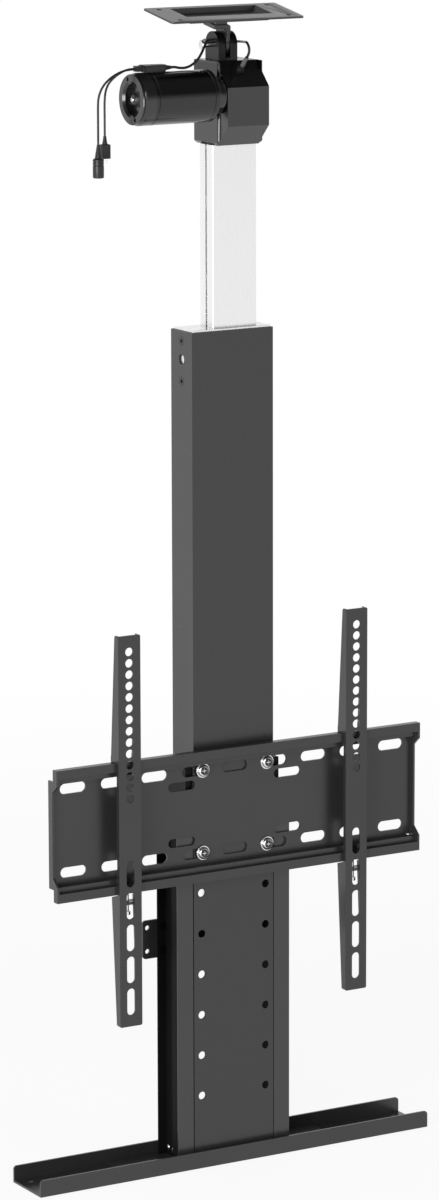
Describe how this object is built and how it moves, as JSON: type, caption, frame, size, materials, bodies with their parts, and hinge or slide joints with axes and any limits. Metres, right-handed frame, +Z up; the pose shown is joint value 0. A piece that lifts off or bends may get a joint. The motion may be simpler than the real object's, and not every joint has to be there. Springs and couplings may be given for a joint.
{
  "type": "tv lift mechanism",
  "caption": "Motorised TV lift: a rising column on a floor channel with telescopic guide rails, a motor and gearbox head, a slotted mounting plate with hook-on arms, and a tilting lid plate.",
  "frame": {"origin": "centre of the floor channel's underside, on the floor", "axes": "+Z up along the column, +X to the right seen from the TV side, +Y from the TV side to the back"},
  "size_m": [0.502, 0.0862, 1.2825],
  "materials": {
    "powder_coated_steel": "matte dark grey powder coat",
    "painted_casting": "satin dark grey paint",
    "zinc_plated_steel": "zinc plated",
    "bright_steel": "ground and bright",
    "dark_steel": "dark, satin",
    "bare_aluminium": "bare, fine satin",
    "gloss_black_motor": "gloss black paint",
    "bronze": "machined",
    "copper_winding": "varnished winding",
    "nylon": "black nylon",
    "black_plastic": "satin moulded plastic",
    "grey_sleeve": "light grey sleeve",
    "circuit_board": "green board",
    "cable_jacket": "black cable jacket"
  },
  "bodies": {
    "base": {"base_channel": "powder_coated_steel", "foot_plate": "powder_coated_steel", "guide_rail_left": "powder_coated_steel", "guide_rail_right": "powder_coated_steel", "wall_bracket": "powder_coated_steel", "bracket_screws": "zinc_plated_steel", "foot_screws": "zinc_plated_steel", "rod_foot": "dark_steel", "rod_pin": "zinc_plated_steel", "lift_rod": "bright_steel", "spindle_nut": "bronze"},
    "stage_left": {"slide_stage_left": "dark_steel", "stage_glides_left": "nylon"},
    "stage_right": {"slide_stage_right": "dark_steel", "stage_glides_right": "nylon"},
    "carriage": {"inner_column": "powder_coated_steel", "column_runner_left": "dark_steel", "column_runner_right": "dark_steel", "clamp_block": "bare_aluminium", "clamp_screws": "dark_steel", "actuator_tube": "bare_aluminium", "tube_end_bush": "black_plastic", "limit_strip": "circuit_board", "gearbox_housing": "painted_casting", "gearbox_cover": "painted_casting", "gearbox_screws": "zinc_plated_steel", "clevis_fork": "painted_casting", "fork_screws": "zinc_plated_steel", "pivot_bolt": "zinc_plated_steel", "pivot_nut": "zinc_plated_steel", "motor_flange": "painted_casting", "motor_can": "gloss_black_motor", "motor_end_cap": "gloss_black_motor", "motor_screws": "dark_steel", "motor_magnets": "dark_steel", "spindle_bearing": "bright_steel", "tv_plate": "powder_coated_steel", "plate_bolts": "zinc_plated_steel", "plate_washers": "zinc_plated_steel", "plate_nuts": "zinc_plated_steel", "cable_gland": "black_plastic", "gland_sleeve": "grey_sleeve", "power_cable": "cable_jacket", "y_splitter": "black_plastic", "plug_lead": "cable_jacket", "socket_lead": "cable_jacket", "plug_connector": "black_plastic", "socket_connector": "black_plastic"},
    "spindle": {"spindle": "bright_steel", "worm_wheel": "bronze"},
    "rotor": {"rotor_shaft": "bright_steel", "armature": "copper_winding", "commutator": "bronze", "worm": "bright_steel"},
    "top_plate": {"top_plate": "powder_coated_steel", "top_bracket": "powder_coated_steel"},
    "left_arm": {"left_arm": "powder_coated_steel", "left_lock_screw": "zinc_plated_steel"},
    "right_arm": {"right_arm": "powder_coated_steel", "right_lock_screw": "zinc_plated_steel"}
  },
  "joints": [
    {"name": "lift", "type": "slide", "parent": "base", "child": "carriage", "axis": [0, 0, 1], "range_m": [0, 0.5]},
    {"name": "stage_left_slide", "type": "slide", "parent": "base", "child": "stage_left", "axis": [0, 0, 1], "range_m": [0, 0.25]},
    {"name": "stage_right_slide", "type": "slide", "parent": "base", "child": "stage_right", "axis": [0, 0, 1], "range_m": [0, 0.25]},
    {"name": "spindle_spin", "type": "hinge", "parent": "carriage", "child": "spindle", "pos_m": [0.008, 0, 1], "axis": [0, 0, 1], "range_deg": [0, 15000]},
    {"name": "rotor_spin", "type": "hinge", "parent": "carriage", "child": "rotor", "pos_m": [-0.05, -0.026, 1.191], "axis": [1, 0, 0], "range_deg": [0, 240000]},
    {"name": "top_tilt", "type": "hinge", "parent": "carriage", "child": "top_plate", "pos_m": [0, 0, 1.243], "axis": [1, 0, 0], "range_deg": [-26, 14]},
    {"name": "left_arm_slide", "type": "slide", "parent": "carriage", "child": "left_arm", "axis": [1, 0, 0], "range_m": [-0.0555, 0.0445]},
    {"name": "right_arm_slide", "type": "slide", "parent": "carriage", "child": "right_arm", "axis": [1, 0, 0], "range_m": [-0.0445, 0.0555]}
  ],
  "couplings": [
    {"joint": "stage_left_slide", "follows": "lift", "ratio": 0.5},
    {"joint": "stage_right_slide", "follows": "lift", "ratio": 0.5},
    {"joint": "spindle_spin", "follows": "lift", "rad_per_m": 523.6},
    {"joint": "rotor_spin", "follows": "lift", "rad_per_m": 8377.6}
  ]
}
